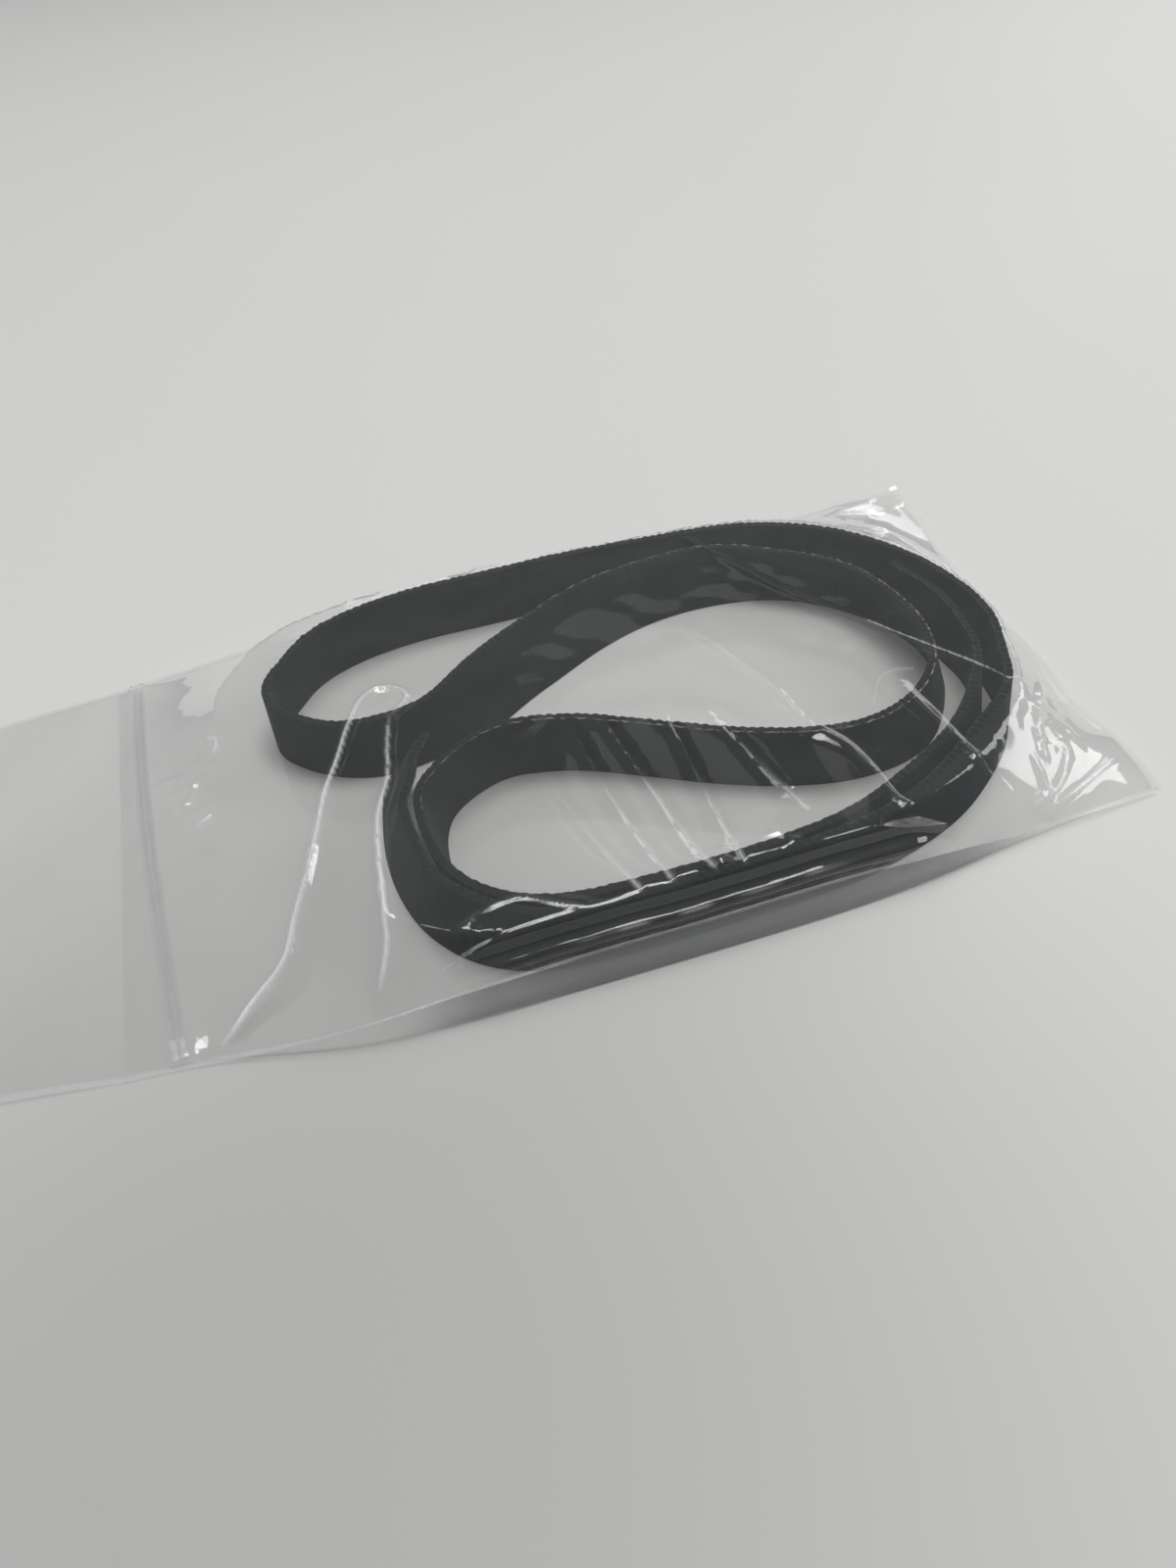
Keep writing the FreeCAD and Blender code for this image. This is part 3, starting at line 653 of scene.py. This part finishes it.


# Creases of the upper film: places in plan, height, half width at the start and at the end, and how strongly
# a white highlight is painted along it
CREASES = [
    ([(41.7, 43.2), (48.5, 25.4), (55.3, 10.4), (68.1, -13.3), (76.1, -28.8)], 0.28, 0.9, 0.9, 0.10),
    ([(76.1, -28.8), (80.6, -29.9), (88.3, -28.7)], 0.35, 0.9, 0.7, 0.3),
    ([(51.6, -25.4), (54.9, -19.9), (57.9, -17.8), (60.3, -17.6), (62.9, -18.7)], 0.25, 0.6, 0.6, 0.5),
    ([(57.8, -21.0), (58.5, -28.5), (59.2, -36.0), (61.2, -45.0), (64.7, -47.4)], 0.65, 2.6, 0.5, 0.2),
    ([(39.2, -27.3), (42.0, -32.5), (43.2, -40.0), (44.2, -49.0), (45.7, -51.0)], 0.60, 2.1, 0.5, 0.2),
    ([(31.3, 10.9), (36.8, -6.0), (38.9, -21.1), (39.0, -26.9)], 0.35, 2.4, 0.9, 0.45),
    ([(-27.1, 3.9), (-23.0, 9.5), (-23.7, 11.5), (-27.5, 13.6), (-30.5, 11.5), (-33.3, 6.4),
      (-38.0, -5.2), (-40.4, -10.9), (-43.2, -20.1), (-46.3, -27.8), (-49.4, -33.5), (-52.2, -39.3),
      (-57.9, -43.5), (-60.8, -46.1), (-63.1, -48.0)], 0.85, 1.2, 1.2, 1.35),
    ([(-27.1, 3.9), (-29.0, -4.8), (-30.4, -12.6), (-33.2, -20.2), (-35.1, -31.4), (-36.2, -41.8),
      (-37.1, -46.2), (-39.7, -51.0)], 0.80, 1.2, 1.2, 1.25),
    ([(-27.2, -50.0), (-23.9, -47.4), (-16.9, -46.0), (-11.9, -49.3), (-8.3, -51.4)], 0.35, 0.8, 0.7, 0.3),
    ([(85.4, -23.0), (79.6, -32.3), (75.7, -37.8), (73.9, -43.1)], 0.8, 1.1, 0.9, 0.5),
    ([(72.1, -41.9), (71.9, -50.0)], 0.6, 0.8, 0.6, 0.9),
    ([(71.9, -50.0), (80.0, -46.5), (88.8, -42.3)], 0.6, 0.8, 0.7, 0.9),
    ([(75.1, -41.1), (79.7, -40.0), (74.5, -46.7), (68.0, -49.5)], 0.5, 0.8, 0.7, 0.5),
    ([(-45.3, -18.9), (-46.3, -33.3), (-46.1, -40.8), (-44.7, -44.3), (-40.7, -46.6), (-33.8, -48.3)],
     0.14, 0.7, 0.7, 0.0),
    ([(-69.2, 12.8), (-64.3, 9.3), (-62.6, 5.6), (-64.6, 2.7), (-63.3, -0.2)], 0.5, 0.8, 0.8, 0.2),
    # The last two are short creases that carry strong painted glints
    ([(-58.9, 15.2), (-57.2, 12.9), (-58.0, 10.6)], 0.4, 0.8, 0.6, 1.3),
    ([(-63.0, -3.3), (-60.3, -2.6)], 0.5, 0.7, 0.7, 1.5),
]
# Pleats run from the middle run of the strap to the near edge. Each falls slowly from the left and ends in
# a sharp step (places in plan, depth, width). They lie in an oval field (middle, half its size).
PLEATS = [
    ([(-5.8, -5.0), (-3.3, -36.9), (0.5, -52.5)], 0.60, 4.0),
    ([(2.4, -5.0), (2.8, -27.0), (5.3, -52.5)], 0.85, 4.4),
    ([(7.4, -5.0), (9.8, -32.2), (10.8, -44.9), (12.0, -52.5)], 0.85, 4.2),
    ([(18.9, -9.0), (17.2, -34.1), (16.4, -52.5)], 0.85, 4.4),
    ([(26.0, -13.0), (28.0, -34.0), (30.0, -46.0)], 0.75, 4.2),
]
PLEATED = ((12.0, -31.0), (26.0, 27.0))
# Crumpled patches: middle in plan, radius, height
CRUMPLES = [
    ((29.5, -42.5), 4.5, 0.5), ((12.5, -49.5), 4.0, 0.6), ((24.5, -49.5), 4.0, 0.6),
    ((-25.5, -50.0), 4.0, 0.6), ((-62.0, 5.5), 8.0, 0.5), ((79.0, -34.0), 8.0, 0.65),
    ((86.0, 50.0), 7.0, 0.35), ((39.0, -27.5), 2.0, 0.25),
]
# The creased film stands this far off the taut one
LOOSENESS = 0.15


def drawn_to_creases(grid):
    """Moves the points next to a crease along the film onto it, so that its ridge is sharp and unbroken."""
    along, across = np.gradient(grid, axis=1), np.gradient(grid, axis=0)
    area = along[..., 0] * across[..., 1] - along[..., 1] * across[..., 0]
    for line in [crease[0] for crease in CREASES] + [pleat[0] for pleat in PLEATS]:
        curve = smooth_line(line, max(8, len(line) * 5))
        _, _, nearest = away_from(grid[..., 0], grid[..., 1], curve)
        gap = nearest - grid[..., :2]
        u = (gap[..., 0] * across[..., 1] - gap[..., 1] * across[..., 0]) / area
        v = (along[..., 0] * gap[..., 1] - along[..., 1] * gap[..., 0]) / area
        close = (np.hypot(u, v) < 0.46)[..., None]
        grid = np.where(close, grid + along * u[..., None] + across * v[..., None], grid)
    return grid


def creased(grid, height, least):
    """Adds creases, pleats, crumples and broad waves to the taut film. Also tells where white highlights are
    painted on it.
    """
    x, y = grid[..., 0], grid[..., 1]
    white = np.zeros(x.shape)
    for line, rise, first, last, painted_glint in CREASES:
        off, share, _ = away_from(x, y, smooth_line(line, max(8, len(line) * 5)))
        half = first + (last - first) * share
        ends = soft_step(share / 0.06) * soft_step((1 - share) / 0.06)
        height = height + rise * np.clip(1 - off / half, 0, 1) * (0.35 + 0.65 * ends)
        # A white highlight is painted along each crease, stronger toward its end
        faint = np.clip(1 - off / np.maximum(0.55, half * 0.5), 0, 1) * (0.45 + 0.55 * share)
        white = np.maximum(white, faint * painted_glint * (0.4 + 0.6 * ends))
    (mx, my), (wx, wy) = PLEATED
    field = soft_step((1.0 - np.hypot((x - mx) / wx, (y - my) / wy)) / 0.35)
    depth = np.zeros(x.shape)
    for line, deep, width in PLEATS:
        off, share, nearest = away_from(x, y, smooth_line(line, 20))
        left = nearest[..., 0] > x
        fall = np.where(left, np.clip(1 - off / width, 0, 1) ** 2, np.clip(1 - off / 0.9, 0, 1))
        ends = soft_step(share / 0.15) * soft_step((1 - share) / 0.04)
        depth = np.maximum(depth, deep * fall * ends)
        # A white highlight is painted along each pleat's sharp step, stronger toward the near edge
        white = np.maximum(white, np.clip(1 - off / 0.8, 0, 1) * 0.8 * share**2 * ends)
    height = height + (0.85 - depth) * field
    for (cx, cy), radius, rise in CRUMPLES:
        near = np.hypot(x - cx, y - cy) < radius * 1.3
        bump = np.zeros(x.shape)
        ridge = np.clip(1 - np.abs(waves(x[near], y[near], 3.6, cx)) * 1.7, 0, 1)
        fine = np.clip(1 - np.abs(waves(x[near], y[near], 1.9, cy)) * 1.7, 0, 1)
        fade = soft_step(1.3 - np.hypot(x[near] - cx, y[near] - cy) / radius)
        bump[near] = fade * (ridge * 0.75 + fine * 0.25)
        # White glints are painted on the crumples' sharpest ridges
        sharp = np.clip(ridge - 0.7, 0, 1) + np.clip(fine - 0.8, 0, 1)
        white[near] = np.maximum(white[near], fade * sharp * rise * 1.6)
        height = height + bump * rise
    calm = 1 - 0.75 * field
    height = height + (0.22 * waves(x, y, 17.0, 1.0) + 0.07 * waves(x, y, 6.0, 2.0)) * calm + LOOSENESS
    return np.maximum(height, least), white


# Profile of the film beside the near run of the strap, from the seam up: out from the seam, and height. The
# ledge in it catches the light as one long bright fold, and a broken highlight is painted along it too.
WALL = [(0.0, NEAR_SEAM_TOP), (-0.3, 6.4), (-0.7, 8.1), (-0.65, 8.6), (-0.3, 8.85), (0.4, 9.15), (1.0, 9.6),
        (1.4, 10.8), (1.8, 11.9), (2.2, 12.25), (2.6, 12.35)]
WALL_RUN = 2.6
WALL_ROWS = 18
LEDGE_HEIGHT = 8.8


def walled(grid, white):
    """Gives the rows beside the near run of the strap their ledge, with small crumples, and paints a broken
    highlight along the ledge.
    """
    rows = WALL_ROWS + 1
    profile = at_shares(WALL, np.linspace(0, 1, rows))
    x = grid[0, :, 0]
    # The wall stands along the strap's near run, and the ledge along its middle part
    weight = soft_step((x + 33.0) / 12.0) * soft_step((52.0 - x) / 10.0)
    ledge = soft_step((x + 14.0) / 3.0) * soft_step((36.0 - x) / 5.0)
    broken = np.clip(0.6 + waves(x, np.zeros(x.shape), 5.0, 9.0), 0, 1)
    billow = waves(x, np.full(x.shape, 2.0), 11.0, 7.0) * 0.18
    for j in range(1, rows - 1):
        out, up = profile[j]
        mid = math.sin(math.pi * j / (rows - 1))
        level = np.full(x.shape, up * 1.4)
        sway = waves(x, level, 14.0, 5.0) * 0.15 + (0.5 - np.abs(waves(x, level, 4.0, 6.0))) * 0.06
        y = grid[0, :, 1] + out - mid * sway
        z = up + (grid[0, :, 2] - NEAR_SEAM_TOP) * (1 - j / rows) + mid * billow
        grid[j, :, 1] += (y - grid[j, :, 1]) * weight
        grid[j, :, 2] += (z - grid[j, :, 2]) * weight
        # A broken white highlight is painted along the ledge
        edge = max(0.0, 1 - abs(up - LEDGE_HEIGHT) / 0.35)
        white[j] = np.maximum(white[j] * (1 - weight), edge * ledge * broken * 0.6)
    return grid, white


def upper_film_grid(strap_points):
    """The upper film's underside, and where highlights are painted white on it. Its rows lie closest beside
    the near seam.
    """
    # Rows up the wall, over the near run of the strap, and across the rest, and then the columns
    across = graded((WALL_RUN, WALL_ROWS), (8.0, 12), (BAG_ACROSS, 137))
    count = 262
    near = at_shares(NEAR_SEAM, np.linspace(0, 1, count))
    far = at_shares(FAR_SEAM, np.linspace(0, 1, count))
    grid = patch(near, far, at_shares(FOLD_LINE, across), at_shares(END_SEAM, across), across)
    least = floor_of_film(grid, strap_points)
    grid[..., 2] = draped(grid, least)
    moved = drawn_to_creases(grid)
    grid[2:-2, 2:-2] = moved[2:-2, 2:-2]
    taut = grid[..., 2].copy()
    # The creases fade out over the last five rows and columns before the seams
    rows, columns = taut.shape
    row, column = np.arange(rows)[:, None], np.arange(columns)[None, :]
    from_rim = np.minimum(np.minimum(row, rows - 1 - row), np.minimum(column, columns - 1 - column))
    share = soft_step(from_rim / 5.0)
    full, white = creased(grid, taut, least)
    grid[..., 2] = taut + (full - taut) * share
    grid, white = walled(grid, white * share)
    grid[..., 2] = np.maximum(grid[..., 2], FILM)
    return grid, white


# The lower film lies flat from this far inside the near seam on
NEAR_MARGIN = 4.0


def lower_film_grid():
    """The lower film's underside, flat with its near margin turned up to the seam, and that margin's haze,
    which its material paints in grey as shade.
    """
    count = 180
    even = np.linspace(0, 1, count)
    foot = at_shares(NEAR_FOOT, even)
    seam = at_shares(NEAR_SEAM, even)
    far = at_shares(FAR_SEAM, even)
    across = np.linspace(0, 1, 110)
    near = np.column_stack((foot, np.full(count, CLEAR)))
    right = at_shares(END_SEAM, across)
    grid = patch(near, far, at_shares(FOLD_LINE, across), right, across)
    # It rises a little to the far seam and to the closed end
    u, v = even[None, :], across[:, None]
    margin = soft_step(1 - v * BAG_ACROSS / NEAR_MARGIN)
    grid[..., 2] = soft_step((v - 0.95) / 0.05) * (far[None, :, 2] - FILM)
    grid[..., 2] += soft_step((u - 0.965) / 0.035) * (right[:, None, 2] - FILM) * (1 - margin)
    grid[..., 2] = np.maximum(grid[..., 2], CLEAR)
    turned = []
    for share in np.linspace(0, 1, 9)[:0:-1]:
        bow = math.sin(share * math.pi) * 0.35
        row = near * (1 - share) + seam * share
        row[:, 1] -= bow * np.clip(seam[:, 2] / NEAR_SEAM_TOP, 0, 1)
        row[:, 2] = np.maximum((seam[:, 2] - FILM) * share, CLEAR)
        turned.append(row)
    turned = np.array(turned)
    # The margin's haze, given grey by its material as painted shade, is thickest along the middle of the near
    # seam
    haze = 0.9 * soft_step((seam[:, 0] + 46.0) / 24.0) * soft_step((78.0 - seam[:, 0]) / 30.0)
    white = np.concatenate((np.tile(haze, (len(turned), 1)), np.zeros(grid.shape[:2])))
    return np.concatenate((turned, grid)), white


# Steps along a seam, the length of one crimp of its weld, and how deep the crimps are
SEAM_STEP = 0.7
CRIMP_LENGTH = 0.9
CRIMP_DEPTH = 0.03


def seam_strip(name, line, outward, width, material, upturned=False):
    """A heat-welded strip along a seam: both films in one, slightly crimped. An upturned one stands up more
    steeply the higher its seam lies."""
    length = np.linalg.norm(np.diff(np.array(line), axis=0), axis=1).sum()
    inner = smooth_line(line, int(length / SEAM_STEP))
    run = np.gradient(inner, axis=0)
    run /= np.linalg.norm(run, axis=1, keepdims=True)
    side = np.column_stack((run[:, 1], -run[:, 0], np.zeros(len(run)))) * outward
    raised = np.clip(inner[:, 2] / NEAR_SEAM_TOP, 0, 1)[:, None]
    out = side * (1 - 0.55 * raised)
    if upturned:
        out = out + np.array([0, 0, 0.9]) * raised
    wave = np.sin(np.arange(len(inner)) * SEAM_STEP / CRIMP_LENGTH * math.pi) * CRIMP_DEPTH
    rows = []
    for share in (0.0, 0.25, 0.5, 0.75, 1.0):
        row = inner + out * width * share
        row[:, 2] = np.maximum(row[:, 2] - FILM + 0.03 * share + wave * math.sin(share * math.pi), CLEAR)
        rows.append(row)
    if outward > 0:
        rows = rows[::-1]
    return thin_sheet(name, np.array(rows), 2 * FILM, material)


# Outlines of the zip's two halves (across, up): the channel below and the rib that snaps into it from above
CHANNEL = [
    (-1.2, 0.1), (1.2, 0.1), (1.2, 1.15), (0.3, 1.15), (0.3, 0.9), (0.85, 0.9), (0.85, 0.35),
    (-0.85, 0.35), (-0.85, 0.9), (-0.3, 0.9), (-0.3, 1.15), (-1.2, 1.15),
]
RIB = [
    (-1.2, 1.25), (-0.2, 1.25), (-0.2, 0.8), (-0.75, 0.8), (-0.75, 0.45), (0.75, 0.45), (0.75, 0.8),
    (0.2, 0.8), (0.2, 1.25), (1.2, 1.25), (1.2, 1.5), (-1.2, 1.5),
]


def zip_bar(name, outline, material):
    """One half of the zip: an extruded outline swept along the zip, pinched flat over 3 mm at both ends."""
    path = smooth_line(ZIP_LINE, 90)
    run = np.gradient(path, axis=0)
    run /= np.linalg.norm(run, axis=1, keepdims=True)
    side = np.column_stack((run[:, 1], -run[:, 0]))
    outline = np.array(outline)
    length = ZIP_LINE[-1][1] - ZIP_LINE[0][1]
    along = np.linspace(0, length, len(path))
    pinch = soft_step(np.minimum(along, length - along) / 3.0) * 0.75 + 0.25
    rings = []
    for point, across, tight in zip(path, side, pinch):
        plan = point + across * outline[:, :1]
        rings.append(np.column_stack((plan, FILM + (outline[:, 1] - FILM) * tight)))
    faces = swept_faces(len(rings), len(outline), turned=True)
    return make_piece(name, np.array(rings).reshape(-1, 3), faces, material)


# How far the lips reach beyond the fold, how much they narrow at their near and far sides, and their welds
LIP_REACH = 24.0
NEAR_NARROWING = 3.6
FAR_NARROWING = 2.8
SIDE_WELD = 1.2
END_WELD = 1.5


def lip_grid(height, gap):
    """One lip beyond the fold. It lies flat, with slight waves and its edge a little open."""
    x = np.linspace(FOLD_X - LIP_REACH, FOLD_X, 60)[None, :]
    v = np.linspace(0, 1, 160)[:, None]
    out = np.clip((FOLD_X - x) / LIP_REACH, 0, 1)
    y = (FOLD_NEAR + out * NEAR_NARROWING) * (1 - v) + (FOLD_FAR - out * FAR_NARROWING) * v
    wave = 0.18 * soft_step(out * 3) * (1 + np.sin(v * 15.0 + out * 3.0))
    opened = gap * out * out * np.sin(v * math.pi) ** 0.7
    return np.stack(np.broadcast_arrays(x, y, height + wave + opened), axis=-1)


def lip_strip(name, near_side, material):
    """The weld along one side of the lips."""
    whole = lip_grid(CLEAR, 0.0)
    edge = whole[0] if near_side else whole[-1]
    out = -SIDE_WELD if near_side else SIDE_WELD
    rows = [edge + np.array([0, out * share, 0.0]) for share in (0.0, 0.5, 1.0)]
    if near_side:
        rows = rows[::-1]
    return thin_sheet(name, np.array(rows), 2 * FILM, material)


# Put together

add_camera()
add_table()
add_world()
for lamp in LAMPS:
    add_light(*lamp)

webbing = woven_material("black_polyester_webbing", ("#0e1616", "#131c1c"), thread=0.8)
lining = woven_material("dark_conductive_lining", ("#121919", "#192121"), thread=0.6, pale_edge=True)
clear_film = film_material("clear_polythene_film", haze=0.006, roughness=0.06)
# The margin's grey milk is painted shade: the shade under the strap, seen through the turned-up margin
margin_film = film_material("shaded_polythene_margin", haze=0.006, roughness=0.10, milk_and_painted_light="#a2a2a2")
welded_film = film_material("heat_welded_polythene", haze=0.10, roughness=0.22)
zip_plastic = film_material("extruded_polythene_zip", haze=0.03, roughness=0.15, gloss=0.3)

lines = strap_lines()
half = (OUTER_PLY + INNER_PLY) / 2
outer = make_ply("strap_outer_webbing", lines, half, half - OUTER_PLY, webbing, ragged=0.26)
inner = make_ply("strap_inner_lining", lines, half - OUTER_PLY, -half, lining, ragged=0.20)
for piece, node, slot in ((outer, "strap_outer_ply", "strap_outer"),
                          (inner, "strap_inner_ply", "strap_inner")):
    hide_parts(node)
    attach(piece, "strap")

strap_points = np.concatenate([lines[0][0], lines[1][0]])
upper_shape, painted_glint_and_shade = upper_film_grid(strap_points)
upper = thin_sheet("upper_film_sheet", upper_shape, FILM, clear_film, painted_glint_and_shade)
lower_shape, margin_haze_and_shade = lower_film_grid()
lower = thin_sheet("lower_film_sheet", lower_shape, FILM, margin_film, margin_haze_and_shade)
near_weld = seam_strip("near_seam_strip", NEAR_SEAM, 1, SIDE_WELD, welded_film, upturned=True)
far_weld = seam_strip("far_seam_strip", FAR_SEAM, -1, SIDE_WELD, welded_film)
end_weld = seam_strip("closed_end_strip", END_SEAM, 1, END_WELD, welded_film)
channel = zip_bar("zip_channel_bar", CHANNEL, zip_plastic)
rib = zip_bar("zip_rib_bar", RIB, zip_plastic)

bag_pieces = (
    (upper, "upper_film", "clear_film"), (lower, "lower_film", "clear_film"),
    (near_weld, "near_weld", "welded_film"), (far_weld, "far_weld", "welded_film"),
    (end_weld, "end_weld", "welded_film"), (channel, "zip_channel", "zip_plastic"),
    (rib, "zip_rib", "zip_plastic"),
)
for piece, node, slot in bag_pieces:
    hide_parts(node)
    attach(piece, "bag")

lower_lip = thin_sheet("lower_lip_sheet", lip_grid(CLEAR, 0.0), FILM, clear_film)
upper_lip = thin_sheet("upper_lip_sheet", lip_grid(FILM + CLEAR + 0.01, 0.6), FILM, clear_film)
lip_near = lip_strip("lip_near_strip", True, welded_film)
lip_far = lip_strip("lip_far_strip", False, welded_film)
lip_pieces = (
    (lower_lip, "lower_lip", "clear_film"), (upper_lip, "upper_lip", "clear_film"),
    (lip_near, "lip_near_weld", "welded_film"), (lip_far, "lip_far_weld", "welded_film"),
)
for piece, node, slot in lip_pieces:
    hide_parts(node)
    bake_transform(piece)

scene = bpy.context.scene
scene.view_settings.view_transform = "Standard"
# A line of sight meets many layers of film
scene.cycles.transparent_max_bounces = 24
